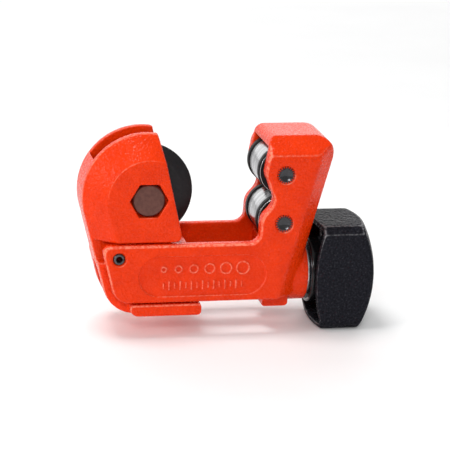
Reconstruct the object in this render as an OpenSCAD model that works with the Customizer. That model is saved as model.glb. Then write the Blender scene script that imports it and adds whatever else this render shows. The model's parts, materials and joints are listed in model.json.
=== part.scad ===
// Small screw-feed pipe cutter for pipe of 3 to 16 mm: a die-cast frame with two rollers, a slide
// that carries the cutter wheel, and a knob whose spindle draws the slide towards the rollers.
// Heights are worked out from the underside of the frame's beam, lengths along the feed (X).

/* [Frame] */
// Width of the frame across the pipe's axis
frame_width = 19; // [18:0.5:22]
// Height of the beam, from its underside to the top of its rails
beam_height = 12.8; // [12.6:0.1:13]
// Thickness of each of the beam's two side walls
wall = 2.3; // [2.2:0.1:2.5]
// Left end of the beam
beam_left = -27.7; // [-28:0.1:-27]
// Height of the top of the upright
upright_top = 35.3; // [35:0.1:36]
// Lean of the upright's back from the vertical, in degrees
back_lean = 14.6; // [12:0.1:16]
// Place of the upright's back where it meets the underside
back_foot = 13.8; // [13:0.1:14.5]
// Width of the long bevels along the upright's back and top
upright_bevel = 3.6; // [2:0.1:4]
// Radius of the round boss that carries the spindle
boss_r = 6.5; // [6.3:0.1:6.6]
// Right-hand end of the boss
boss_end = 17.4; // [17:0.1:17.4]

/* [Rollers] */
// Distance of the roller axes to the right of the frame's datum
roller_x = 10.8; // [10.6:0.1:11]
// Height of the feed line, half way between the rollers and level with the wheel's axle
feed_z = 22.2; // [22:0.1:22.4]
// Distance between the roller axes
roller_pitch = 10.6; // [10.4:0.1:10.8]
// Radius of a roller
roller_r = 5; // [4.8:0.05:5]
// Length of a roller
roller_length = 12.2; // [11.8:0.1:12.4]
// Radius of a roller pin's serrated ends
roller_pin_r = 1.85; // [1.7:0.05:2]

/* [Slide] */
// Distance of the wheel's axle to the left of the datum
axle_x = -18.1; // [-18.3:0.1:-18]
// Radius of the slide's rounded head
head_r = 13.6; // [13.4:0.1:13.8]
// Width of the head
head_width = 17.4; // [16.8:0.1:18]
// Width across the head's outer rim, between its two bevels
rim_width = 8.8; // [8.4:0.1:9.2]
// Radius of the flat on each side of the head, inside the bevel
flat_r = 8.7; // [8.2:0.1:9]
// Height of the underside of the head
head_base = 13.1; // [13.1:0.1:13.2]
// Lean of the slide's left side from the vertical, in degrees
side_lean = 14.5; // [13:0.1:16]
// Width of the slot that the wheel turns in
slot_width = 5.8; // [5.6:0.1:6]
// Thickness of the foot under the frame
foot_thick = 2.6; // [2.4:0.1:2.8]
// Left end of the foot
foot_left = -21.8; // [-22:0.1:-21]
// Right end of the foot
foot_right = -6.4; // [-7:0.1:-6.4]

/* [Cutter wheel] */
// Radius of the wheel's cutting edge
wheel_r = 10.65; // [10.4:0.05:10.7]
// Thickness of the wheel's hub
wheel_hub = 3; // [2.6:0.1:3]
// Radius of the wheel's axle
axle_r = 2; // [1.9:0.05:2.1]

/* [Feed] */
// Height of the spindle's axis
spindle_z = 3.9; // [3.9:0.1:4]
// Radius over the spindle's thread
spindle_r = 2.95; // [2.8:0.05:3]
// Pitch of the spindle's thread
thread_pitch = 1; // [0.8:0.1:1.25]
// Travel of the slide towards the rollers
travel_in = 13.7; // [13:0.1:13.7]
// Travel of the slide away from the rollers
travel_out = 1.8; // [1:0.1:1.8]

/* [Knob] */
// Width of the knob
knob_width = 17.4; // [17:0.1:18]
// Height of the knob
knob_height = 23.2; // [22:0.1:23.2]
// Thickness of the knob's walls
knob_wall = 1.1; // [1:0.05:1.3]
// Width of the bevels along the knob
knob_bevel = 1.6; // [1.4:0.1:2]
// Right-hand end of the knob, at the crown of its dome
knob_end = 32.8; // [32:0.1:33.5]
// Radius of the knob's dome
dome_r = 25; // [23:0.5:26]
// Radius of the bowed rim at the knob's open end
rim_r = 38.6; // [34:0.2:44]

/* [Hidden] */
$fn = 64;

// Clearances
run_gap = 0.05;    // radial, between a shaft and its hole
side_gap = 0.2;    // between sliding faces
part_gap = 0.3;    // between parts that never touch
big = 100;         // longer than the whole tool

// Places that several parts share
half_w = frame_width / 2;
trough_half = half_w - wall;
tongue_half = trough_half - side_gap;
upper_z = feed_z + roller_pitch / 2;
lower_z = feed_z - roller_pitch / 2;
washer_thick = 0.35;
bay_half = roller_length / 2 + washer_thick + 0.1;
foot_top = -part_gap;
foot_base = foot_top - foot_thick;
stop_x = -24.3;
stop_z = 9.9;
stop_r = 1.25;
groove_half = 4.6;
trough_end = 7.7;
bush_r = 3.8;
washer_x = trough_end - 0.6;
ring_x = washer_x - 0.75;
ring_thick = 0.6;
ring_groove_r = 2.3;
spindle_bore = spindle_r + run_gap;
hub_start = boss_end + 0.7;
hub_r = 6.9;
pocket_af = 7.1;
axle_head_r = 3.4;
head_half = head_width / 2;
slot_half = slot_width / 2;
knob_pin_x = hub_start + 4;
knob_pin_r = 1;
origin_x = (axle_x - head_r + knob_end) / 2;
origin_z = spindle_z - knob_height / 2;

PAINT = "orangered";
BLACK = "dimgray";
STEEL = "silver";
DARK = "darkslategray";
BRASS = "goldenrod";

// Points along an arc, from angle a0 to a1 in degrees
function arc(cx, cy, r, a0, a1, n = 10) =
    [for (i = [0:n]) let (a = a0 + (a1 - a0) * i / n) [cx + r * cos(a), cy + r * sin(a)]];

// Moves a part from the beam's datum to the tool's own origin, under the middle of the whole tool
module placed() translate([-origin_x, 0, -origin_z]) children();

// Stands an outline drawn as X and Z up, and gives it a width across Y
module across(width) rotate([90, 0, 0]) linear_extrude(width, center = true) children();

// A cylinder along X from x0 to x1, at height z
module along_x(r, x0, x1, z = spindle_z) translate([x0, 0, z]) rotate([0, 90, 0])
    cylinder(r = r, h = x1 - x0);

// A cylinder along Y from y0 to y1, at x and z
module along_y(r, y0, y1, x, z) translate([x, y1, z]) rotate([90, 0, 0]) cylinder(r = r, h = y1 - y0);

// A tube along Y
module tube_y(r, bore, y0, y1, x, z) difference() {
    along_y(r, y0, y1, x, z);
    along_y(bore, y0 - 1, y1 + 1, x, z);
}

// A tube along X
module tube_x(r, bore, x0, x1) difference() {
    along_x(r, x0, x1);
    along_x(bore, x0 - 1, x1 + 1);
}

// A hexagon along Y from y0 to y1, with corners to the left and right
module hex_y(af, y0, y1, x, z) translate([x, y1, z]) rotate([90, 0, 0])
    cylinder(d = af / cos(30), h = y1 - y0, $fn = 6);

// The same thing on both sides of the tool; drawn for the rear
module both_sides() for (s = [0, 1]) mirror([0, s, 0]) children();

// ---- Frame ----

// Side view of the frame: beam, cheeks scalloped between the rollers, and leaning back
toe_r = 4;
beam_corner_r = 1.5;
fillet_r = 2.2;
scallop_r = 3.4;
notch_r = 2.8;
brow_r = 1.6;
corner_r = 4.2;
corner_z = upright_top - corner_r;
corner_x = back_foot + corner_z * tan(back_lean) - corner_r / cos(back_lean);
module frame_side() polygon(concat(
    arc(foot_left, toe_r, toe_r, 270, 180 + side_lean),
    arc(beam_left + beam_corner_r, beam_height - beam_corner_r, beam_corner_r, 180 + side_lean, 90, 5),
    arc(3.6, beam_height + fillet_r, fillet_r, 270, 345),
    arc(9.2, lower_z, scallop_r, 180, 130, 6),
    arc(5.6, feed_z, notch_r, -40, 40, 8),
    arc(9.8, upper_z + 0.6, scallop_r, 215, 180, 6),
    arc(9, upright_top - brow_r, brow_r, 165, 90, 5),
    arc(corner_x, corner_z, corner_r, 90, -back_lean),
    [[back_foot, 0]]
));

// Everything inside the bevels along the upright's back
module back_bevels() translate([back_foot, 0, 0]) rotate([0, back_lean, 0])
    linear_extrude(2 * big, center = true) polygon([
        [-big, -half_w], [-upright_bevel, -half_w], [0, upright_bevel - half_w],
        [0, half_w - upright_bevel], [-upright_bevel, half_w], [-big, half_w]
    ]);

// Everything inside the bevels along the upright's top
module top_bevels() translate([0, 0, upright_top]) rotate([0, -90, 0]) rotate([0, 0, 180])
    linear_extrude(2 * big, center = true) polygon([
        [big, -half_w], [upright_bevel, -half_w], [0, upright_bevel - half_w],
        [0, half_w - upright_bevel], [upright_bevel, half_w], [big, half_w]
    ]);

// Space between the cheeks for the two rollers, open towards the wheel
bay_r = roller_r + 0.45;
bay_back = 3;
module roller_bay() {
    for (z = [lower_z, upper_z]) along_y(bay_r, -bay_half, bay_half, roller_x, z);
    translate([0, -bay_half, lower_z]) cube([roller_x + bay_back, 2 * bay_half, roller_pitch]);
    translate([0, -bay_half, lower_z - bay_r]) cube([roller_x, 2 * bay_half, roller_pitch + 2 * bay_r]);
}

// Shallow stadium-shaped panel in each side of the beam
panel_x = -6.4;
panel_z = 5.9;
panel_half = 9.3;
panel_r = 4.4;
panel_depth = 0.3;
module panel_outline() {
    square([2 * panel_half, 2 * panel_r], center = true);
    for (s = [-1, 1]) translate([s * panel_half, 0]) circle(r = panel_r);
}
module panel(side) translate([panel_x, side * (half_w - panel_depth / 2 + 0.5), panel_z])
    across(panel_depth + 1) panel_outline();

// Raised capacity marks in the front panel: a row of growing pipe ends above a scale
mark_height = 0.22;
mark_left = -8.4;
pipe_ends = 6;
ticks = 15;
module capacity_marks() translate([panel_x, -half_w + panel_depth - mark_height / 2, panel_z])
    across(mark_height) {
        for (i = [0:pipe_ends - 1]) translate([mark_left + 3.1 * i + 0.06 * i * i, 1.55]) difference() {
            circle(r = 0.73 + 0.16 * i);
            circle(r = 0.37 + 0.16 * i);
        }
        for (i = [0:ticks - 1]) translate([mark_left + 1.2 * i, -2])
            square([0.32, i % 2 == 0 ? 1.2 : 1.9], center = true);
    }

// Round-edged lug under the beam that the foot comes up against
lug_length = 6;
lug_width = 10;
lug_r = 0.9;
module lug() translate([foot_right + travel_in + 0.1, 0, 0]) across(lug_width) polygon(concat(
    arc(lug_r, foot_base + lug_r, lug_r, 180, 270, 5),
    arc(lug_length - lug_r, foot_base + lug_r, lug_r, 270, 360, 5),
    [[lug_length, 1], [0, 1]]
));

// Top of the trough, which narrows to the rollers' bay
mouth_rise = 2.8;
module trough_mouth() translate([-big, 0, beam_height]) rotate([90, 0, 90]) linear_extrude(big + trough_end)
    polygon([
        [-trough_half, -0.1], [trough_half, -0.1], [trough_half, 0],
        [bay_half, mouth_rise], [-bay_half, mouth_rise], [-trough_half, 0]
    ]);

module frame() color(PAINT) placed() {
    difference() {
        union() {
            intersection() {
                across(frame_width) frame_side();
                back_bevels();
                top_bevels();
            }
            along_x(boss_r, roller_x, boss_end);
            lug();
        }
        // trough that the slide's tongue runs in, open below and at the left
        translate([-big, -trough_half, -big]) cube([big + trough_end, 2 * trough_half, big + beam_height]);
        trough_mouth();
        roller_bay();
        along_x(bush_r, trough_end - 1, boss_end + 1);
        for (z = [lower_z, upper_z]) along_y(roller_pin_r, -big, big, roller_x, z);
        along_y(stop_r, -big, big, stop_x, stop_z);
        for (s = [-1, 1]) {
            along_y(stop_r + 0.2, s * half_w - 0.4, s * half_w + 0.4, stop_x, stop_z);
            panel(s);
        }
    }
    capacity_marks();
}

// ---- Rollers ----

ring_y = roller_length / 2 - 1.1;
ring_half = 0.8;
ring_depth = 0.5;
ring_proud = 0.25;
pin_stem_r = roller_pin_r - 0.1;
roller_bore = pin_stem_r + run_gap;

// A steel roller with a groove near each end
module roller(z) color(STEEL) placed() difference() {
    along_y(roller_r, -roller_length / 2, roller_length / 2, roller_x, z);
    along_y(roller_bore, -big, big, roller_x, z);
    for (s = [-1, 1]) translate([0, s * ring_y, 0])
        tube_y(roller_r + 1, roller_r - ring_depth, -ring_half, ring_half, roller_x, z);
}

// The two black rings in a roller's grooves
module roller_rings(z) color(BLACK) placed() for (s = [-1, 1])
    translate([roller_x, s * ring_y, z]) rotate([90, 0, 0]) rotate_extrude()
        translate([roller_r - ring_depth, -ring_half]) square([ring_depth + ring_proud, 2 * ring_half]);

// A pin with serrated ends that are pressed into the cheeks
serrations = 22;
serration_depth = 0.16;
module roller_pin(z) color(DARK) placed() {
    along_y(pin_stem_r, -bay_half - 0.5, bay_half + 0.5, roller_x, z);
    both_sides() difference() {
        along_y(roller_pin_r, bay_half, half_w, roller_x, z);
        for (i = [0:serrations - 1]) translate([roller_x, half_w, z]) rotate([0, i * 360 / serrations, 0])
            translate([roller_pin_r, 0, 0]) rotate([90, 0, 0])
                cylinder(r = serration_depth, h = 3, center = true, $fn = 4);
    }
}

// A thin steel washer at each end of a roller
washer_r = 3.4;
module roller_washers(z) color(STEEL) placed() both_sides()
    tube_y(washer_r, roller_bore, bay_half - washer_thick, bay_half, roller_x, z);

module upper_roller() roller(upper_z);
module lower_roller() roller(lower_z);
module upper_roller_rings() roller_rings(upper_z);
module lower_roller_rings() roller_rings(lower_z);
module upper_roller_pin() roller_pin(upper_z);
module lower_roller_pin() roller_pin(lower_z);
module upper_roller_washers() roller_washers(upper_z);
module lower_roller_washers() roller_washers(lower_z);

// ---- Stop pins, bush and washers ----

// A slotted spring pin in the rear wall, whose inner end rides in the slide's groove
stop_pin_in = groove_half + 0.4;
stop_pin_out = half_w - 0.15;
stop_bore_r = 0.7;
slit = 0.3;
module stop_pin() color(DARK) placed() difference() {
    tube_y(stop_r, stop_bore_r, stop_pin_in, stop_pin_out, stop_x, stop_z);
    translate([stop_x, 0, stop_z - slit / 2]) cube([2 * stop_r, big, slit]);
}
module front_stop_pin() mirror([0, 1, 0]) stop_pin();
module rear_stop_pin() stop_pin();

thrust_r = 5.6;
collar_r = 3.9;
module spindle_bush() color(BRASS) placed() tube_x(bush_r, spindle_bore, trough_end, boss_end);
module thrust_washer() color(STEEL) placed() tube_x(thrust_r, spindle_bore, boss_end, hub_start - 0.1);
module spindle_washer() color(STEEL) placed() tube_x(collar_r, spindle_bore, washer_x, trough_end);

// ---- Slide ----

// Upper right of the slide's head, a leaning line down to its rounded corner
head_lean = 12.5;
head_right = -10.9;
head_corner_r = 1.3;
head_reach = 26;
module head_side() polygon(concat(
    [[axle_x - head_reach, head_base]],
    arc(head_right - head_corner_r, head_base + head_corner_r, head_corner_r, -90, 10, 6),
    [[head_right - head_reach * tan(head_lean), head_base + head_reach],
     [axle_x - head_reach, head_base + head_reach]]
));

// The head's bevelled body: turned about the axle above, and drawn down along the leaning side
module head_body() intersection() {
    union() {
        translate([axle_x, 0, feed_z]) rotate([90, 0, 0]) rotate_extrude($fn = 128)
            polygon([
                [0, -head_half], [flat_r, -head_half], [head_r, -rim_width / 2],
                [head_r, rim_width / 2], [flat_r, head_half], [0, head_half]
            ]);
        translate([axle_x, 0, feed_z]) rotate([0, -side_lean, 0]) translate([0, 0, -2 * head_r])
            linear_extrude(2 * head_r) polygon([
                [2 * head_r, -head_half], [-flat_r, -head_half], [-head_r, -rim_width / 2],
                [-head_r, rim_width / 2], [-flat_r, head_half], [2 * head_r, head_half]
            ]);
    }
    across(head_width) head_side();
}

// Side view of the tongue that runs in the frame's trough, with the leaning left side carried on down
side_x = axle_x - head_r / cos(side_lean);
function side_at(z) = side_x + (feed_z - z) * tan(side_lean);
tongue_end = -8.3;
tongue_top = beam_height - 0.4;
heel_r = 7;
heel_z = foot_base + heel_r;
heel_x = side_at(heel_z) + heel_r / cos(side_lean);
module tongue_side() polygon(concat(
    [[side_at(head_base), head_base]],
    arc(heel_x, heel_z, heel_r, 180 + side_lean, 270),
    [[tongue_end, foot_base], [tongue_end, tongue_top - 2], [tongue_end - 1.2, tongue_top],
     [head_right - 2, tongue_top], [head_right - 2, head_base]]
));

// Foot that hooks under both of the frame's walls
foot_heel_r = 1.9;
foot_toe_r = 0.8;
foot_top_r = 0.6;
module foot_side() polygon(concat(
    arc(foot_left + foot_heel_r, foot_base + foot_heel_r, foot_heel_r, 180, 270, 6),
    arc(foot_right - foot_toe_r, foot_base + foot_toe_r, foot_toe_r, 270, 360, 4),
    arc(foot_right - foot_top_r, foot_top - foot_top_r, foot_top_r, 0, 90, 4),
    arc(foot_left + foot_top_r, foot_top - foot_top_r, foot_top_r, 90, 180, 4)
));

nut_start = -18;
nut_r = 4.2;
slot_left = axle_x - wheel_r - 0.4;
slot_base = feed_z - wheel_r - 0.4;
groove_base = 8.6;
front_pocket = 2.2;
rear_pocket = 3;

module slide() color(PAINT) placed() difference() {
    union() {
        head_body();
        across(2 * tongue_half) tongue_side();
        across(frame_width) foot_side();
    }
    // slot for the wheel, open above and towards the rollers
    translate([slot_left, -slot_half, slot_base]) cube([big, slot_width, big]);
    // grooves for the stop pins, closed where they stop the slide
    both_sides() translate([-big, groove_half, groove_base])
        cube([big + stop_x + travel_out + stop_r + 0.1, big, head_base - groove_base]);
    along_y(axle_r, -big, big, axle_x, feed_z);
    hex_y(pocket_af, -big, front_pocket - head_half, axle_x, feed_z);
    hex_y(pocket_af, head_half - rear_pocket, big, axle_x, feed_z);
    along_x(nut_r, nut_start, 0);
    along_x(spindle_r + 0.45, -big, 0);
}

module slide_nut() color(BRASS) placed() tube_x(nut_r, spindle_bore, nut_start, tongue_end);

// ---- Wheel and its axle ----

web_r = 4.2;
edge_r = 8.2;
web_half = 0.8;
edge_half = 0.06;
module cutter_wheel() color(DARK) placed() translate([axle_x, 0, feed_z]) rotate([90, 0, 0])
    rotate_extrude($fn = 128) polygon([
        [axle_r + run_gap, -wheel_hub / 2], [web_r, -wheel_hub / 2], [web_r, -web_half],
        [edge_r, -web_half], [wheel_r, -edge_half], [wheel_r, edge_half], [edge_r, web_half],
        [web_r, web_half], [web_r, wheel_hub / 2], [axle_r + run_gap, wheel_hub / 2]
    ]);

axle_head = 1.8;
axle_base = front_pocket - head_half;
module wheel_axle() color("sienna") placed() {
    along_y(axle_head_r, axle_base - axle_head, axle_base, axle_x, feed_z);
    along_y(axle_r, axle_base, head_half - 0.6, axle_x, feed_z);
}

module axle_nut() color(STEEL) placed() difference() {
    hex_y(pocket_af - 0.1, head_half - rear_pocket, head_half - 0.5, axle_x, feed_z);
    along_y(axle_r, 0, big, axle_x, feed_z);
}

// A plain spacer between the wheel's hub and the rear side of the slot
spacer_r = 3.3;
module wheel_spacer() color(STEEL) placed()
    tube_y(spacer_r, axle_r, wheel_hub / 2 + 0.1, slot_half, axle_x, feed_z);
module front_wheel_spacer() mirror([0, 1, 0]) wheel_spacer();
module rear_wheel_spacer() wheel_spacer();

// ---- Spindle and knob ----

// The spindle, with its thread drawn as rings at the thread's own pitch
spindle_tip = -22;
tip_bevel = 0.8;
spindle_end = hub_start + 8;
thread_end = ring_x - 0.6;
thread_depth = 0.45;
threads = floor((thread_end - spindle_tip - tip_bevel) / thread_pitch);
root_r = spindle_r - thread_depth;
module spindle_turned() translate([0, 0, spindle_z]) rotate([0, 90, 0]) rotate_extrude()
    polygon(concat(
        [[0, spindle_tip], [spindle_r - tip_bevel, spindle_tip], [root_r, spindle_tip + 0.5]],
        [for (i = [0:threads - 1], k = [0:3])
            [k == 0 || k == 3 ? root_r : spindle_r,
             spindle_tip + tip_bevel + (i + [0.05, 0.4, 0.6, 0.95][k]) * thread_pitch]],
        [[spindle_r, thread_end], [spindle_r, ring_x], [ring_groove_r, ring_x],
         [ring_groove_r, ring_x + ring_thick], [spindle_r, ring_x + ring_thick],
         [spindle_r, spindle_end], [0, spindle_end]]
    ));
module spindle() color(STEEL) placed() difference() {
    spindle_turned();
    translate([knob_pin_x, 0, spindle_z - big]) cylinder(r = knob_pin_r, h = 2 * big);
}

// An open retaining ring in the spindle's groove
ring_r = 3.8;
ring_mouth = 2.4;
module retaining_ring() color(DARK) placed() difference() {
    tube_x(ring_r, ring_groove_r, ring_x, ring_x + ring_thick);
    translate([ring_x - 1, -ring_mouth / 2, spindle_z]) cube([ring_thick + 2, ring_mouth, big]);
}

// Section of the knob, an oblong with bevelled corners, grown or shrunk by a margin
module knob_section(margin) {
    y = knob_width / 2 + margin;
    z = knob_height / 2 + margin;
    b = knob_bevel + margin * 0.6;
    polygon([
        [z, y - b], [z - b, y], [b - z, y], [-z, y - b],
        [-z, b - y], [b - z, -y], [z - b, -y], [z, b - y]
    ]);
}

// The knob's section along X, closed at its right by a dome
module knob_block(margin) intersection() {
    translate([0, 0, spindle_z]) rotate([0, 90, 0]) linear_extrude(knob_end) knob_section(margin);
    translate([knob_end - dome_r, 0, spindle_z]) rotate([0, 90, 0])
        sphere(r = dome_r + margin * 1.5, $fn = 128);
}

rim_x = 17.75;
rib_start = hub_start + 3;
rib_thick = 1.2;
knob_pin_half = 5.5;
module knob() color(BLACK) placed() difference() {
    union() {
        difference() {
            intersection() {
                knob_block(0);
                translate([rim_x + rim_r, 0, spindle_z]) rotate([0, 90, 0]) sphere(r = rim_r, $fn = 128);
            }
            knob_block(-knob_wall);
        }
        intersection() {
            union() {
                along_x(hub_r, hub_start, knob_end);
                translate([rib_start, -rib_thick / 2, spindle_z - knob_height / 2])
                    cube([big, rib_thick, knob_height]);
            }
            knob_block(-knob_wall / 2);
        }
    }
    along_x(spindle_r, 0, spindle_end);
    translate([knob_pin_x, 0, spindle_z - big]) cylinder(r = knob_pin_r, h = big + knob_pin_half);
}

module knob_pin() color(DARK) placed() translate([knob_pin_x, 0, spindle_z]) difference() {
    cylinder(r = knob_pin_r, h = 2 * knob_pin_half, center = true);
    cylinder(r = knob_pin_r / 2, h = big, center = true);
}

frame();
upper_roller();
lower_roller();
upper_roller_rings();
lower_roller_rings();
upper_roller_pin();
lower_roller_pin();
upper_roller_washers();
lower_roller_washers();
front_stop_pin();
rear_stop_pin();
spindle_bush();
thrust_washer();
spindle_washer();
slide();
slide_nut();
cutter_wheel();
wheel_axle();
axle_nut();
front_wheel_spacer();
rear_wheel_spacer();
spindle();
retaining_ring();
knob();
knob_pin();
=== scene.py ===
import math
import bmesh
import bpy
import numpy as np
from mathutils import Matrix, Vector
from mathutils.bvhtree import BVHTree
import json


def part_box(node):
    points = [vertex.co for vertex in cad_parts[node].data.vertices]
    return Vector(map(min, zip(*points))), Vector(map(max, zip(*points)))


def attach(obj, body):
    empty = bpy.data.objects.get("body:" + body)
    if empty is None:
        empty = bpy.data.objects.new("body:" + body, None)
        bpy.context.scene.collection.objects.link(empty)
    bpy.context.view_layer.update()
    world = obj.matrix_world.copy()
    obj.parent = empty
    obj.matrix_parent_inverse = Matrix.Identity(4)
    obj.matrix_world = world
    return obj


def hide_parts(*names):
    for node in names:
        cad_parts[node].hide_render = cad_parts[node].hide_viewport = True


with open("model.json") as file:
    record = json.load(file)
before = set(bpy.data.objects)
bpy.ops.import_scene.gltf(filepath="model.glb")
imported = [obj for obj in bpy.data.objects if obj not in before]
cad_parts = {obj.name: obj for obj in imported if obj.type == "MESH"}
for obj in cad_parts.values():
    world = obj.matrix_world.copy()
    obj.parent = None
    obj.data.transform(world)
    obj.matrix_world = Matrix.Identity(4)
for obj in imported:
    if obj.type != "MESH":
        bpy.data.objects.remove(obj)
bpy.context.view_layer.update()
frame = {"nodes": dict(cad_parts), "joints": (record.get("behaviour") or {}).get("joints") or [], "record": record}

MM = 0.001
ON_AXIS = 1e-9      # radii below this, in metres, are on a turned piece's axis
SHORTEST = 1e-7     # roundings below this, in metres, are left out


# ---- Places taken from the frame ----

def middle(node):
    low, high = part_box(node)
    return (low + high) / 2


def size(node):
    low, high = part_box(node)
    return high - low


def round_part(node, axis):
    """Middle of a round node, half of its length along its axis, and its radius."""
    k = "XYZ".index(axis)
    span = size(node)
    return middle(node), span[k] / 2, span[(k + 1) % 3] / 2


JOINTS = {j["name"]: j for j in frame["joints"]}
AXLE = Vector(JOINTS["wheel_spin"]["pos_m"])
SPINDLE = Vector(JOINTS["knob_turn"]["pos_m"])


# ---- Mesh helpers ----

def link(mesh, name):
    """A new object in the scene that shows this mesh."""
    mesh.name = name
    piece = bpy.data.objects.new(name, mesh)
    bpy.context.scene.collection.objects.link(piece)
    return piece


def shade_smooth(mesh, angle=35):
    """Smooth shading, with edges sharper than the angle kept crisp."""
    bm = bmesh.new()
    bm.from_mesh(mesh)
    for face in bm.faces:
        face.smooth = True
    limit = math.radians(angle)
    for edge in bm.edges:
        edge.smooth = len(edge.link_faces) == 2 and edge.calc_face_angle(0) < limit
    bm.to_mesh(mesh)
    bm.free()


def soften(outline, radius, steps=4):
    """Rounds each corner of a closed outline of (axial, radial) points.

    A rounding reaches at most nearly half of the way along the shorter side beside it."""
    share = 0.45
    points = [Vector(p) for p in outline]
    out = []
    for i, corner in enumerate(points):
        before, after = points[i - 1], points[(i + 1) % len(points)]
        back, ahead = before - corner, after - corner
        reach = min(radius, share * back.length, share * ahead.length)
        if abs(corner[1]) < ON_AXIS or reach < SHORTEST:
            out.append(corner)
            continue
        start = corner + back.normalized() * reach
        end = corner + ahead.normalized() * reach
        for k in range(steps + 1):
            t = k / steps
            out.append(start * (1 - t) ** 2 + corner * 2 * t * (1 - t) + end * t * t)
    return out


AXES = {
    "X": (Vector((1, 0, 0)), Vector((0, 1, 0))),
    "Y": (Vector((0, 1, 0)), Vector((0, 0, 1))),
    "Z": (Vector((0, 0, 1)), Vector((1, 0, 0))),
}


def revolve(name, outline, centre, axis, segments=96, bump=None, mouth=None):
    """A closed solid turned from an outline of (axial, radial) points in metres.

    bump changes a radius by its angle, and mouth is the (angle, half width) of a gap left open."""
    along, first = AXES[axis]
    second = along.cross(first)
    start, sweep, count = 0, 2 * math.pi, segments
    if mouth:
        start, sweep, count = mouth[0] + mouth[1], 2 * math.pi - 2 * mouth[1], segments + 1
    bm = bmesh.new()
    rings = []
    for a, r in outline:
        if r < ON_AXIS:
            rings.append([bm.verts.new(centre + along * a)])
            continue
        ring = []
        for k in range(count):
            turn = start + sweep * k / segments
            radius = r + (bump(a, r, turn) if bump else 0)
            spoke = first * math.cos(turn) + second * math.sin(turn)
            ring.append(bm.verts.new(centre + along * a + spoke * radius))
        rings.append(ring)
    for i in range(len(rings)):
        here, there = rings[i], rings[(i + 1) % len(rings)]
        if len(here) == 1 and len(there) == 1:
            continue
        for k in range(segments):
            n = (k + 1) % count
            if len(here) == 1:
                bm.faces.new((here[0], there[k], there[n]))
            elif len(there) == 1:
                bm.faces.new((here[k], there[0], here[n]))
            else:
                bm.faces.new((here[k], there[k], there[n], here[n]))
    if mouth:
        bm.faces.new([ring[0] for ring in rings])
        bm.faces.new([ring[-1] for ring in rings])
    bmesh.ops.recalc_face_normals(bm, faces=bm.faces)
    mesh = bpy.data.meshes.new(name)
    bm.to_mesh(mesh)
    bm.free()
    shade_smooth(mesh)
    return link(mesh, name)


def join(pieces, name):
    """One piece made of several."""
    bm = bmesh.new()
    for piece in pieces:
        bm.from_mesh(piece.data)
        bpy.data.objects.remove(piece)
    mesh = bpy.data.meshes.new(name)
    bm.to_mesh(mesh)
    bm.free()
    return link(mesh, name)


# Painted highlight along convex edges: strongest where they face up and left, towards the lamps, and least
# elsewhere
HIGHLIGHT_FROM = (-0.6, 0, 0.8)
HIGHLIGHT_LEAST = 0.2
HIGHLIGHT_RISE = 0.45


def rise(distance, reach):
    """0 at a distance of zero or less, and 1 at the reach or more, with a smooth slope between."""
    t = np.clip(distance / reach, 0, 1)
    return t * t * (3 - 2 * t)


def voxel_copy(node, name, voxel):
    """A copy of a CAD node rebuilt from voxels, and its points moved back onto the node's own surface.

    The voxels and the points are in millimetres."""
    # Corners closer than this, in metres, are one corner
    merge = 1e-6
    mesh = frame["nodes"][node].data.copy()
    mesh.materials.clear()
    piece = link(mesh, name)
    bm = bmesh.new()
    bm.from_mesh(mesh)
    bmesh.ops.remove_doubles(bm, verts=bm.verts, dist=merge)
    bmesh.ops.scale(bm, vec=(1 / MM,) * 3, verts=bm.verts)
    exact = BVHTree.FromBMesh(bm)
    bm.to_mesh(mesh)
    bm.free()
    remesh = piece.modifiers.new("cast", "REMESH")
    remesh.mode = "VOXEL"
    remesh.voxel_size = voxel
    bpy.context.view_layer.update()
    fine = bpy.data.meshes.new_from_object(piece.evaluated_get(bpy.context.evaluated_depsgraph_get()))
    piece.modifiers.clear()
    piece.data = fine
    bpy.data.meshes.remove(mesh)
    fine.name = name
    co = np.empty(len(fine.vertices) * 3)
    fine.vertices.foreach_get("co", co)
    return piece, np.array([exact.find_nearest(v)[0] for v in co.reshape(-1, 3)])


def smoothed(mesh, co, share, rounds):
    """Points moved towards the middle of their neighbours a number of times, each by its own share."""
    step = 0.5
    count = len(co)
    edges = np.empty(len(mesh.edges) * 2, np.int64)
    mesh.edges.foreach_get("vertices", edges)
    a, b = edges.reshape(-1, 2).T
    degree = np.bincount(np.concatenate([a, b]), minlength=count)[:, None]
    moved = co.copy()
    for _ in range(rounds):
        total = np.zeros_like(moved)
        for k in range(3):
            total[:, k] = np.bincount(a, moved[b, k], count) + np.bincount(b, moved[a, k], count)
        moved += step * share * (total / degree - moved)
    return moved


def edge_highlight(mesh, cut, share):
    """Painted highlight: how far the rounding cut each point back, most on edges facing up and left, evened out
    between castings.
    """
    normals = np.empty(len(cut) * 3)
    mesh.vertices.foreach_get("normal", normals)
    normals = normals.reshape(-1, 3)
    facing_light = HIGHLIGHT_LEAST + (1 - HIGHLIGHT_LEAST) * rise(normals @ np.array(HIGHLIGHT_FROM), HIGHLIGHT_RISE)
    evenly = share.max() ** -0.5
    return (cut * normals).sum(axis=1) * facing_light * evenly


def casting(node, name, voxel, rounds, softness, relief=None):
    """A cast copy of a CAD node, rebuilt from small voxels whose edges are rounded by smoothing.

    softness(points) gives each point its share of the rounding, and relief moves the rounded points, all
    in millimetres. The point attribute "edge" holds a painted highlight along the convex edges, strongest where
    they face up and left, for the coat."""
    piece, co = voxel_copy(node, name, voxel)
    mesh = piece.data
    share = softness(co)[:, None]
    moved = smoothed(mesh, co, share, rounds)
    cut = co - moved
    marked = np.zeros(len(co))
    if relief:
        moved, marked = relief(moved)
    mesh.vertices.foreach_set("co", (moved * MM).ravel())
    for polygon in mesh.polygons:
        polygon.use_smooth = True
    mesh.update()
    # Painted highlight along the edges, and on the marks and the panel's rim
    edge = np.maximum(edge_highlight(mesh, cut, share), marked)
    mesh.attributes.new("edge", "FLOAT", "POINT").data.foreach_set("value", edge.astype(np.float32))
    return piece


# ---- Materials ----

def grey(level):
    return (level, level, level)


def shade(colour, factor):
    """A colour made lighter or darker by a factor."""
    return tuple(c * factor for c in colour)


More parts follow.
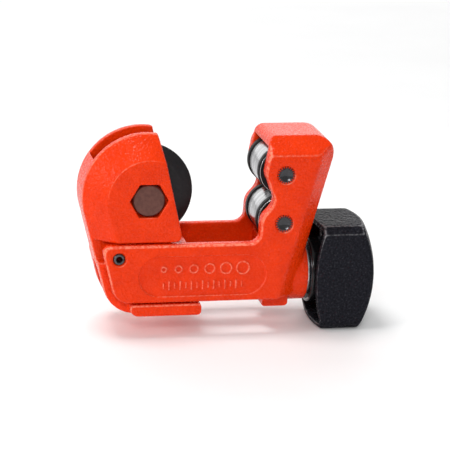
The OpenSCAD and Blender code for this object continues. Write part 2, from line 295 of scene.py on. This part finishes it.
class Nodes:
    """Adds shader nodes to one material and joins them."""

    def __init__(self, name):
        self.material = bpy.data.materials.new(name)
        self.material.use_nodes = True
        self.tree = self.material.node_tree
        self.shader = self.tree.nodes["Principled BSDF"]
        self.place = self.add("ShaderNodeTexCoord").outputs["Object"]

    def add(self, kind, **values):
        node = self.tree.nodes.new(kind)
        for key, value in values.items():
            setattr(node, key, value)
        return node

    def join(self, out, socket):
        self.tree.links.new(out, socket)

    def noise(self, scale, detail=2.0, stretch=(1, 1, 1), roughness=0.5):
        """Noise at a number of grains per metre, stretched along an axis by a smaller factor."""
        mapping = self.add("ShaderNodeMapping")
        mapping.inputs["Scale"].default_value = stretch
        self.join(self.place, mapping.inputs["Vector"])
        noise = self.add("ShaderNodeTexNoise")
        noise.inputs["Scale"].default_value = scale
        noise.inputs["Detail"].default_value = detail
        noise.inputs["Roughness"].default_value = roughness
        self.join(mapping.outputs["Vector"], noise.inputs["Vector"])
        return noise.outputs["Fac"]

    def cells(self, scale):
        """Small rounded cells, a number of them per metre."""
        cells = self.add("ShaderNodeTexVoronoi", feature="SMOOTH_F1")
        cells.inputs["Scale"].default_value = scale
        cells.inputs["Smoothness"].default_value = 0.35
        self.join(self.place, cells.inputs["Vector"])
        return cells.outputs["Distance"]

    def ramp(self, value, stops):
        ramp = self.add("ShaderNodeValToRGB")
        elements = ramp.color_ramp.elements
        while len(elements) < len(stops):
            elements.new(0.5)
        for element, (place, colour) in zip(elements, stops):
            element.position = place
            element.color = (*colour, 1)
        self.join(value, ramp.inputs["Fac"])
        return ramp.outputs["Color"]

    def bump(self, height, strength, distance, under=None):
        bump = self.add("ShaderNodeBump")
        bump.inputs["Strength"].default_value = strength
        bump.inputs["Distance"].default_value = distance
        self.join(height, bump.inputs["Height"])
        if under is not None:
            self.join(under, bump.inputs["Normal"])
        return bump.outputs["Normal"]

    def edge(self, low, high):
        """1 along a casting's convex edges, for a painted highlight, broken up into painted glints by fine noise.
        """
        highlit = self.ramp(self.add("ShaderNodeAttribute", attribute_name="edge").outputs["Fac"],
                         [(low, grey(0)), (high, grey(1))])
        # Fine noise breaks the painted highlight into painted glints
        glint_noise = self.ramp(self.noise(1900, 2), [(0.42, grey(0.3)), (0.58, grey(1))])
        both = self.add("ShaderNodeMath", operation="MULTIPLY")
        self.join(highlit, both.inputs[0])
        self.join(glint_noise, both.inputs[1])
        return both.outputs[0]

    def blend(self, factor, base, colour):
        mix = self.add("ShaderNodeMix", data_type="RGBA")
        self.join(factor, mix.inputs["Factor"])
        self.join(base, mix.inputs[6])
        mix.inputs[7].default_value = (*colour, 1)
        return mix.outputs[2]

    def set(self, **values):
        for key, value in values.items():
            self.shader.inputs[key.replace("_", " ")].default_value = value


def powder_coat():
    """Orange powder coat on a die casting: orange peel and fine grain, with a paler painted highlight along its
    convex edges.
    """
    n = Nodes("orange_powder_coat")
    base = n.ramp(n.noise(260, 3), [(0.3, (0.76, 0.033, 0.001)), (0.7, (0.86, 0.042, 0.002))])
    # Pale pink along the convex edges: painted highlight
    n.join(n.blend(n.edge(0.05, 0.15), base, (0.95, 0.24, 0.15)), n.shader.inputs["Base Color"])
    grain = n.noise(1750, 2, roughness=0.6)
    peel = n.bump(n.noise(620, 2), 0.35, 0.00014)
    fine = n.bump(grain, 0.6, 0.00012, peel)
    n.join(n.bump(n.cells(1900), 0.8, 0.00014, fine), n.shader.inputs["Normal"])
    n.join(n.ramp(grain, [(0.3, grey(0.20)), (0.7, grey(0.32))]), n.shader.inputs["Roughness"])
    n.set(Specular_IOR_Level=0.16)
    return n.material


def textured_black():
    """Black wrinkle coat of the knob, with darker and paler grains, the palest of them painted glints, and a
    painted highlight along its edges.
    """
    n = Nodes("black_wrinkle_coat")
    crumb = n.noise(1650, 2, roughness=0.6)
    glint_noise = n.noise(2300, 2)
    # The palest stop paints glints as pale specks
    base = n.ramp(glint_noise, [(0.35, (0.010, 0.010, 0.013)),
                          (0.60, (0.019, 0.019, 0.025)),
                          (0.80, (0.05, 0.05, 0.055))])
    # Grey along the edges: painted highlight
    n.join(n.blend(n.edge(0.05, 0.13), base, (0.20, 0.20, 0.21)), n.shader.inputs["Base Color"])
    low = n.bump(crumb, 0.8, 0.00026)
    n.join(n.bump(n.cells(1500), 1.0, 0.0003, low), n.shader.inputs["Normal"])
    n.join(n.ramp(crumb, [(0.35, grey(0.30)), (0.65, grey(0.14))]), n.shader.inputs["Roughness"])
    n.set(Specular_IOR_Level=0.015)
    return n.material


def turned_steel(name, colour, roughness, lines, stretch):
    """Bright metal with fine turning lines that run round the part."""
    n = Nodes(name)
    line = n.noise(lines, 3, stretch, 0.7)
    tone = n.ramp(line, [(0.35, shade(colour, 0.42)), (0.62, colour)])
    n.join(tone, n.shader.inputs["Base Color"])
    n.join(n.bump(line, 0.35, 0.00003), n.shader.inputs["Normal"])
    shine = n.ramp(line, [(0.3, grey(roughness * 1.3)), (0.7, grey(roughness * 0.8))])
    n.join(shine, n.shader.inputs["Roughness"])
    n.set(Metallic=1.0)
    return n.material


def plain_metal(name, colour, roughness, metallic=1.0, depth=0.2, shine=0.5, grains=1500):
    """Metal or coating with a slightly uneven surface, of a number of grains per metre."""
    n = Nodes(name)
    cloud = n.noise(grains, 3)
    tone = n.ramp(cloud, [(0.3, shade(colour, 0.75)), (0.7, shade(colour, 1.2))])
    n.join(tone, n.shader.inputs["Base Color"])
    n.join(n.bump(cloud, depth, 0.00002), n.shader.inputs["Normal"])
    rough = n.ramp(cloud, [(0.3, grey(roughness * 0.85)), (0.7, grey(roughness * 1.15))])
    n.join(rough, n.shader.inputs["Roughness"])
    n.set(Metallic=metallic, Specular_IOR_Level=shine)
    return n.material


# Stretch of the turning lines on parts turned about each axis
AROUND_Y = (0.02, 1, 0.02)
AROUND_X = (1, 0.02, 0.02)
# The slots' materials, and three finishes of pieces that share a slot: pin_black, hub_black and black_oxide
MATERIALS = {
    "orange_paint": powder_coat(),
    "polished_steel": turned_steel("turned_steel", (0.50, 0.50, 0.51), 0.25, 2400, AROUND_Y),
    "black_rings": plain_metal("ring_black", (0.010, 0.010, 0.011), 0.5, 0.0, shine=0.15),
    "dark_steel": plain_metal("dark_steel", (0.10, 0.10, 0.108), 0.26, 0.85),
    "pin_black": plain_metal("pin_black", (0.06, 0.06, 0.064), 0.20, 0.85, depth=0.8, grains=3000),
    "hub_black": plain_metal("gloss_black", (0.006, 0.006, 0.007), 0.14, 0.0, depth=0.1, shine=0.4),
    "black_oxide": plain_metal("black_oxide", (0.014, 0.013, 0.015), 0.40, 0.1, shine=0.25),
    "bronze_head": plain_metal("brown_oxide", (0.135, 0.055, 0.043), 0.42, 0.6),
    "zinc_steel": turned_steel("zinc_plate", (0.66, 0.66, 0.68), 0.28, 6000, AROUND_X),
    "bronze": turned_steel("bronze", (0.62, 0.42, 0.20), 0.32, 6000, AROUND_X),
    "knob_black": textured_black(),
}


def dress(piece, slot, body, node=None, material=None):
    """Gives a piece its material and body, and hides the node that it stands for, if any.

    The material is the slot's own, unless another is named."""
    piece.data.materials.clear()
    piece.data.materials.append(MATERIALS[material or slot])
    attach(piece, body)
    if node:
        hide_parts(node)


# The CAD nodes get the same finishes
SLOTS = {s["node"]: s["material_slot"] for s in frame["record"]["subparts"]}
for cad_name, cad in frame["nodes"].items():
    cad.data.materials.clear()
    cad.data.materials.append(MATERIALS[SLOTS[cad_name]])


# ---- Castings ----

# In this section places and sizes are in millimetres
VOXEL = 0.17
FRAME_HALF = size("frame").y / 2 / MM
# The beam's panel has round ends: its outline is PANEL_R away from a line of PANEL_HALF each way
PANEL = Vector((-6.95, 13.6))
PANEL_HALF, PANEL_R, PANEL_DEPTH, PANEL_SLOPE = 9.3, 4.4, 0.42, 0.2
# Size marks in the front panel, placed from its middle: growing rings above a row of ticks
MARK_LEFT, MARK_HEIGHT, MARK_SLOPE = -8.4, 0.32, 0.14
RINGS, RING_PITCH, RING_SPREAD, RING_UP = 6, 3.1, 0.06, 1.55
RING_FIRST, RING_GROWTH, RING_LINE = 0.55, 0.16, 0.12
TICKS, TICK_PITCH, TICK_DOWN, TICK_LINE = 15, 1.2, 2, 0.1
TICK_LONG, TICK_SHORT = 0.95, 0.6
# The value of "edge" on top of the marks and along the panel's rim: a painted highlight
MARK_HIGHLIGHT = 0.13
# Middle and radius of the faint rings that the ejector pins of the mould left on the two sides
EJECTORS = ((12.8, 30.1, 2.6), (8.7, 17.4, 1.5), (-22.8, 14.3, 1.5))
EJECTOR_DEPTH, EJECTOR_LINE, EJECTOR_SLOPE = 0.07, 0.1, 0.15


def away_from(co, place):
    """Distance in the side view from a place, in millimetres."""
    return np.hypot(co[:, 0] - place.x / MM, co[:, 2] - place.z / MM)


def panel_distance(co):
    """Distance in the side view outside the outline of the beam's panel, negative inside it."""
    reach = np.maximum(np.abs(co[:, 0] - PANEL.x) - PANEL_HALF, 0)
    return np.hypot(reach, co[:, 2] - PANEL.y) - PANEL_R


def frame_softness(co):
    """The outer edges of the two sides are well rounded, and the holes and panels stay crisp."""
    skin, margin, fade = 2.2, 0.3, 0.8
    least, least_at_hole = 0.14, 0.3
    soft = rise(np.abs(co[:, 1]) - (FRAME_HALF - skin), fade) * rise(panel_distance(co) - margin, fade)
    for pin in ("upper_roller_pin", "lower_roller_pin", "front_stop_pin"):
        hole = size(pin).x / 2 / MM
        clear = rise(away_from(co, middle(pin)) - hole - margin, fade)
        soft *= least_at_hole + (1 - least_at_hole) * clear
    return least + (1 - least) * soft


def slide_softness(co):
    """The head's outer bevels are rounded, and its slot and its pockets stay crisp."""
    slot_half, pocket_r, fade = 3.3, 4.6, 0.8
    least, most = 0.1, 0.4
    soft = rise(np.abs(co[:, 1]) - slot_half, fade) * rise(away_from(co, AXLE) - pocket_r, fade)
    return least + (most - least) * soft


def knob_softness(co):
    """The rim of the open end keeps its thickness."""
    rim_end, fade, least = 18.5, 2, 0.25
    return least + (1 - least) * rise(co[:, 0] - rim_end, fade)


def size_marks(x, z):
    """Height of the size marks, from 0 to 1, at places measured from the panel's middle."""
    marks = np.zeros(len(x))
    for i in range(RINGS):
        along = x - MARK_LEFT - RING_PITCH * i - RING_SPREAD * i * i
        away = np.hypot(along, z - RING_UP) - (RING_FIRST + RING_GROWTH * i)
        marks = np.maximum(marks, 1 - rise(np.abs(away) - RING_LINE, MARK_SLOPE))
    for i in range(TICKS):
        half = TICK_LONG if i % 2 else TICK_SHORT
        along = np.abs(x - MARK_LEFT - TICK_PITCH * i) - TICK_LINE
        away = np.maximum(along, np.abs(z + TICK_DOWN) - half)
        marks = np.maximum(marks, 1 - rise(away, MARK_SLOPE))
    return marks


def side_relief(co):
    """Presses a panel into each side of the beam, and raises the size marks in the front one."""
    # Only points this near move: under the panel's floor, beside its outline, or under the side face
    under, beside, skin = 0.15, 0.6, 0.2
    out = co.copy()
    below = FRAME_HALF - np.abs(co[:, 1])
    panel = panel_distance(co)
    pressed = 1 - rise(panel + PANEL_SLOPE / 2, PANEL_SLOPE)
    marks = size_marks(co[:, 0] - PANEL.x, co[:, 2] - PANEL.y) * (co[:, 1] < 0)
    near = (below < PANEL_DEPTH + under) & (panel < beside)
    depth = PANEL_DEPTH * pressed - MARK_HEIGHT * marks
    out[near, 1] = np.sign(co[near, 1]) * (FRAME_HALF - depth[near])
    face = below < skin
    for ring_x, ring_z, radius in EJECTORS:
        away = np.abs(np.hypot(co[:, 0] - ring_x, co[:, 2] - ring_z) - radius)
        sunk = EJECTOR_DEPTH * (1 - rise(away[face] - EJECTOR_LINE, EJECTOR_SLOPE))
        out[face, 1] -= np.sign(co[face, 1]) * sunk
    rim = 4 * pressed * (1 - pressed)
    # The marks' tops and the panel's rim get a painted highlight through "edge"
    return out, np.where(near, MARK_HIGHLIGHT * np.maximum(rim, marks), 0)


cast_frame = casting("frame", "frame_casting", VOXEL, 50, frame_softness, side_relief)
dress(cast_frame, "orange_paint", "frame_body", "frame")
cast_slide = casting("slide", "slide_casting", VOXEL, 50, slide_softness)
dress(cast_slide, "orange_paint", "slide_body", "slide")
cast_knob = casting("knob", "knob_shell", VOXEL, 45, knob_softness)
dress(cast_knob, "knob_black", "knob_body", "knob")


# ---- Rollers, their rings, pins and washers ----

def roller_set(which):
    """A roller with a groove near each end, its two black rings, black discs on its ends as painted shade, and the
    washers beside it.
    """
    body = which + "_roller_body"
    roller = which + "_roller"
    centre, span = middle(roller), size(roller)
    half, radius = span.y / 2, span.x / 2
    rings = size(roller + "_rings")
    groove, bore, ring_half, slack = 0.5 * MM, 1.8 * MM, 0.8 * MM, 0.03 * MM
    corner, ring_corner = 0.12 * MM, 0.45 * MM
    ring_mid, ring_top = rings.y / 2 - ring_half, rings.x / 2
    outline = [(-half, bore), (-half, radius)]
    for side in (-1, 1):
        at, low = side * ring_mid, radius - groove
        outline += [(at - ring_half - slack, radius), (at - ring_half - slack, low),
                    (at + ring_half + slack, low), (at + ring_half + slack, radius)]
    outline += [(half, radius), (half, bore)]
    turned = revolve(roller + "_turned", soften(outline, corner, 3), centre, "Y")
    dress(turned, "polished_steel", body, roller)
    pieces = []
    for side in (-1, 1):
        at = side * ring_mid
        section = [(at - ring_half, radius - groove), (at - ring_half, ring_top),
                   (at + ring_half, ring_top), (at + ring_half, radius - groove)]
        pieces.append(revolve(f"{roller}_ring_{side}", soften(section, ring_corner, 6), centre, "Y"))
    dress(join(pieces, roller + "_rings_moulded"), "black_rings", body, roller + "_rings")
    # Black discs just proud of the roller's end faces: painted shade in the narrow gap beside the cheeks
    shade_discs = []
    inset, proud = 0.1 * MM, 0.02 * MM
    low, high = bore + inset, radius - inset
    for side in (-1, 1):
        back, face = side * (half - inset), side * (half + proud)
        section = [(back, low), (back, high), (face, high), (face, low)]
        shade_discs.append(revolve(f"{roller}_shade_disc_{side}", section, centre, "Y"))
    dress(join(shade_discs, roller + "_end_shade_discs"), "black_rings", body)
    collars(roller + "_washers", "Y", 1.8, "zinc_steel", "frame_body", thick=0.35)


def collars(node, axis, bore, slot, body, thick=None, edge=0.1):
    """A turned ring with bevelled edges; with a thickness, one at each end of the node.

    The bore's radius, the thickness and the edge are in millimetres."""
    centre, half, radius = round_part(node, axis)
    bore *= MM
    places = [(-half, half)]
    if thick:
        places = [(-half, thick * MM - half), (half - thick * MM, half)]
    pieces = []
    for low, high in places:
        section = [(low, bore), (low, radius), (high, radius), (high, bore)]
        pieces.append(revolve(f"{node}_{len(pieces)}", soften(section, edge * MM, 3), centre, axis))
    dress(join(pieces, node + "_turned"), slot, body, node)


def spring_pin(node, axis, bore, slot, body, mouth):
    """A rolled pin with bevelled ends and a slit along it: the mouth is the slit's (angle, half width).

    The bore's radius is in millimetres."""
    centre, half, radius = round_part(node, axis)
    bevel, slack = 0.22 * MM, 0.02 * MM
    radius -= slack
    bore *= MM
    section = [(-half, bore), (-half, radius - bevel), (bevel - half, radius), (half - bevel, radius),
               (half, radius - bevel), (half, bore)]
    pin = revolve(node + "_rolled", soften(section, 0.05 * MM, 2), centre, axis, 72, mouth=mouth)
    dress(pin, slot, body, node)


# Teeth round each end of a roller pin
TEETH = 20


def roller_pin(which):
    """A pressed pin with serrated ends and dimpled faces, and the painted seats behind its teeth."""
    node = which + "_roller_pin"
    centre, span = middle(node), size(node)
    half, radius = span.y / 2 - 0.02 * MM, span.x / 2
    stem, cheek = radius - 0.1 * MM, size(which + "_roller").y / 2 + 0.6 * MM
    dimple, lip, tooth, toothed = 0.7 * MM, 0.06 * MM, 0.5 * MM, 0.2 * MM

    def serrate(a, r, turn):
        if abs(a) <= cheek or r < radius - toothed:
            return 0
        return -tooth * (0.5 + 0.5 * math.cos(TEETH * turn)) ** 1.8

    end = [(half - dimple, 0), (half - lip, radius * 0.66), (half, radius * 0.72),
           (half - lip, radius - 0.08 * MM), (half - 0.16 * MM, radius),
           (cheek + 0.2 * MM, radius), (cheek, stem)]
    outline = [(-a, r) for a, r in end] + [(a, r) for a, r in reversed(end)]
    pin = revolve(node + "_turned", outline, centre, "Y", TEETH * 10, serrate)
    dress(pin, "dark_steel", "frame_body", node, "pin_black")
    seats = []
    inner = radius - 0.55 * MM
    for side in (-1, 1):
        deep, shallow = side * (half - 1 * MM), side * (half - 0.22 * MM)
        section = [(deep, inner), (deep, radius), (shallow, radius), (shallow, inner)]
        seats.append(revolve(f"{node}_seat_{side}", soften(section, 0.1 * MM, 3), centre, "Y"))
    dress(join(seats, which + "_pin_seats"), "orange_paint", "frame_body")


for which in ("upper", "lower"):
    roller_set(which)
    roller_pin(which)
for side in ("front", "rear"):
    spring_pin(side + "_stop_pin", "Y", 0.7, "dark_steel", "frame_body", (math.pi / 2, 0.13))


# ---- Wheel, axle, nut and spacers ----

def cutter_wheel():
    """A wheel with a hub, a flat web and an edge ground from both sides."""
    node = "cutter_wheel"
    centre, span = middle(node), size(node)
    hub, edge = span.y / 2, span.x / 2
    bore, hub_r, web_r, grind_r = 2.05 * MM, 4.2 * MM, 4.35 * MM, 8.2 * MM
    web, tip = 0.8 * MM, 0.05 * MM
    outline = [(-hub, bore), (-hub, hub_r), (-web, web_r), (-web, grind_r), (-tip, edge),
               (tip, edge), (web, grind_r), (web, web_r), (hub, hub_r), (hub, bore)]
    wheel = revolve("cutter_wheel_ground", soften(outline, 0.04 * MM, 2), centre, "Y", 160)
    dress(wheel, "dark_steel", "wheel_body", node, "black_oxide")


def wheel_axle():
    """An axle with a slightly crowned round head at the front and a bevelled end."""
    node = "wheel_axle"
    centre, span = middle(node), size(node)
    half, head = span.y / 2, span.x / 2
    shank, head_thick, bevel = 2 * MM, 1.8 * MM, 0.4 * MM
    outline = [(-half, 0), (-half + 0.02 * MM, head * 0.55), (-half + 0.05 * MM, head - 0.25 * MM),
               (-half + 0.3 * MM, head), (-half + head_thick, head), (-half + head_thick, shank),
               (half - bevel, shank), (half, shank - bevel), (half, 0)]
    axle = revolve("wheel_axle_turned", soften(outline, 0.06 * MM, 3), centre, "Y", 96)
    dress(axle, "bronze_head", "slide_body", node)


def axle_nut():
    """A hexagon nut with bevelled corners."""
    node = "axle_nut"
    centre, span = middle(node), size(node)
    half, flat, corner, bore = span.y / 2, span.z / 2, span.x / 2, 2 * MM
    bevel, lead_in = 0.4 * MM, 0.3 * MM
    sixth = math.pi / 3

    def hexagon(a, r, turn):
        if r <= flat:
            return 0
        return min(r, flat / math.cos((turn + sixth / 2) % sixth - sixth / 2)) - r

    outline = [(-half, bore), (-half, flat), (bevel - half, corner), (half - bevel, corner),
               (half, flat), (half, bore + lead_in), (half - lead_in, bore)]
    nut = revolve("axle_nut_turned", outline, centre, "Y", 120, hexagon)
    dress(nut, "zinc_steel", "slide_body", node)


cutter_wheel()
wheel_axle()
axle_nut()
for side in ("front", "rear"):
    collars(side + "_wheel_spacer", "Y", 2, "zinc_steel", "slide_body")
collars("spindle_bush", "X", 3, "bronze", "frame_body", edge=0.3)
collars("slide_nut", "X", 3, "bronze", "slide_body", edge=0.3)
collars("thrust_washer", "X", 3, "zinc_steel", "frame_body")
collars("spindle_washer", "X", 3, "zinc_steel", "frame_body")
spring_pin("knob_pin", "Z", 0.5, "dark_steel", "knob_body", (0, 0.2))


def retaining_ring():
    """An open ring with rounded ends."""
    node = "retaining_ring"
    centre, span = middle(node), size(node)
    half, radius, bore = span.x / 2, span.y / 2, 2.3 * MM
    section = [(-half, bore), (-half, radius), (half, radius), (half, bore)]
    mouth = (math.pi / 2, 0.33)
    centre.z = SPINDLE.z
    ring = revolve("retaining_ring_bent", soften(section, 0.12 * MM, 3), centre, "X", 90, mouth=mouth)
    dress(ring, "dark_steel", "knob_body", node)


retaining_ring()


def knob_hub():
    """The knob's glossy hub: a disc with a rolled rim, which shows in the gap behind the boss."""
    clear, bore = 0.12 * MM, 3.02 * MM
    rim, dish, sunk, depth = 7.15 * MM, 5.9 * MM, 0.35 * MM, 2.6 * MM
    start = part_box("thrust_washer")[1].x + clear
    centre = Vector((start, SPINDLE.y, SPINDLE.z))
    section = [(sunk, bore), (sunk, dish), (0, dish + sunk), (0, rim), (depth, rim), (depth, bore)]
    hub = revolve("knob_hub", soften(section, 0.3 * MM, 5), centre, "X")
    dress(hub, "knob_black", "knob_body", material="hub_black")


knob_hub()


# ---- Spindle with a true thread ----

def spindle():
    """A spindle with a right-hand thread, a bevelled tip and a groove for the retaining ring."""
    node = "spindle"
    low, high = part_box(node)
    centre = Vector((low.x, SPINDLE.y, SPINDLE.z))
    length = high.x - low.x
    radius = (high.z - low.z) / 2
    pitch, depth, bevel, groove = 1 * MM, 0.45 * MM, 0.8 * MM, 0.65 * MM
    ring_low, ring_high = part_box("retaining_ring")
    ring_at = (ring_low.x - low.x, ring_high.x - low.x)
    thread_end = ring_at[0] - 0.6 * MM
    step, around = pitch / 14, 56
    rows = int(length / step)
    # A steeper zigzag, cut off at both ends, leaves flat crests and roots
    steep, cut = 1.35, 0.2

    def surface(x, turn):
        """Radius at a distance from the tip and a share of a turn."""
        r = radius
        if x < thread_end:
            wave = abs(((x / pitch + turn) % 1) * 2 - 1)
            fade = min(1, (thread_end - x) / pitch)
            r = radius - depth * fade * min(1, max(0, steep * wave - cut))
        if x < bevel:
            r = min(r, radius - bevel + x)
        if ring_at[0] <= x <= ring_at[1]:
            r = radius - groove
        return r

    bm = bmesh.new()
    grid = []
    for i in range(rows + 1):
        x = length * i / rows
        ring = []
        for k in range(around):
            angle = 2 * math.pi * k / around
            r = surface(x, k / around)
            place = Vector((x, -r * math.cos(angle), r * math.sin(angle)))
            ring.append(bm.verts.new(centre + place))
        grid.append(ring)
    for here, there in zip(grid, grid[1:]):
        for k in range(around):
            n = (k + 1) % around
            bm.faces.new((here[k], here[n], there[n], there[k]))
    for ring in (grid[0], grid[-1]):
        tip = bm.verts.new(centre + Vector((ring[0].co.x - centre.x, 0, 0)))
        for k in range(around):
            bm.faces.new((ring[k], ring[(k + 1) % around], tip))
    bmesh.ops.recalc_face_normals(bm, faces=bm.faces)
    mesh = bpy.data.meshes.new("spindle_threaded")
    bm.to_mesh(mesh)
    bm.free()
    shade_smooth(mesh, 50)
    dress(link(mesh, "spindle_threaded"), "zinc_steel", "knob_body", node)


spindle()


# ---- Camera, lights and floor ----

def photo_camera():
    """The viewing angle: from the left, a little above, with the frame tipped slightly clockwise."""
    azimuth, height, roll = math.radians(-12.2), math.radians(16.1), math.radians(2.05)
    distance, target = 0.433, Vector((-0.00055, 0, 0.0219))
    pixels_per_metre, frame_px, sensor = 4650, 450, 36
    level = math.cos(height)
    back = Vector((math.sin(azimuth) * level, -math.cos(azimuth) * level, math.sin(height)))
    right = Vector((math.cos(azimuth), math.sin(azimuth), 0))
    up = back.cross(right)
    turned_right = right * math.cos(roll) + up * math.sin(roll)
    turned_up = up * math.cos(roll) - right * math.sin(roll)
    data = bpy.data.cameras.new("camera")
    data.sensor_width = sensor
    data.lens = pixels_per_metre * distance / frame_px * sensor
    data.clip_start = 0.01
    camera = bpy.data.objects.new("camera", data)
    bpy.context.scene.collection.objects.link(camera)
    turn = Matrix((turned_right, turned_up, back)).transposed().to_4x4()
    camera.matrix_world = Matrix.Translation(target + back * distance) @ turn
    bpy.context.scene.camera = camera


def soft_light(name, place, aim, width, height, radiance):
    """A light card of a width and height in metres, as bright as its radiance."""
    data = bpy.data.lights.new(name, "AREA")
    data.shape = "RECTANGLE"
    data.size, data.size_y = width, height
    data.energy = radiance * math.pi * width * height
    light = bpy.data.objects.new(name, data)
    bpy.context.scene.collection.objects.link(light)
    light.location = place
    light.rotation_euler = (Vector(aim) - Vector(place)).to_track_quat("-Z", "Y").to_euler()


def studio():
    """Soft cards round the tool and a plain white surround."""
    aim = (0, 0, 0.02)
    soft_light("top", (-0.10, 0.02, 0.45), aim, 0.14, 0.14, 15.0)
    soft_light("left", (-0.50, -0.14, 0.24), aim, 0.12, 0.12, 15.0)
    soft_light("right", (0.52, -0.06, 0.16), aim, 0.20, 0.20, 1.6)
    soft_light("front", (-0.14, -0.50, 0.34), aim, 0.16, 0.12, 17.0)
    soft_light("behind", (0, 0.70, 0.32), aim, 1.2, 0.6, 1.3)
    world = bpy.data.worlds.new("studio")
    world.use_nodes = True
    surround = world.node_tree.nodes["Background"]
    surround.inputs["Color"].default_value = (1, 1, 1, 1)
    surround.inputs["Strength"].default_value = 0.42
    bpy.context.scene.world = world


def floor():
    """A plain pale floor, just below the tool's lowest point."""
    mesh = bpy.data.meshes.new("floor")
    reach, low = 3.0, -0.02 * MM
    corners = [(-reach, -reach, low), (reach, -reach, low), (reach, reach, low), (-reach, reach, low)]
    mesh.from_pydata(corners, [], [(0, 1, 2, 3)])
    plane = link(mesh, "floor")
    n = Nodes("pale_floor")
    tone = n.ramp(n.noise(30, 2), [(0.3, grey(0.92)), (0.7, grey(0.94))])
    n.join(tone, n.shader.inputs["Base Color"])
    n.set(Roughness=0.6)
    mesh.materials.append(n.material)


photo_camera()
studio()
floor()

bpy.context.scene.view_settings.view_transform = "Standard"
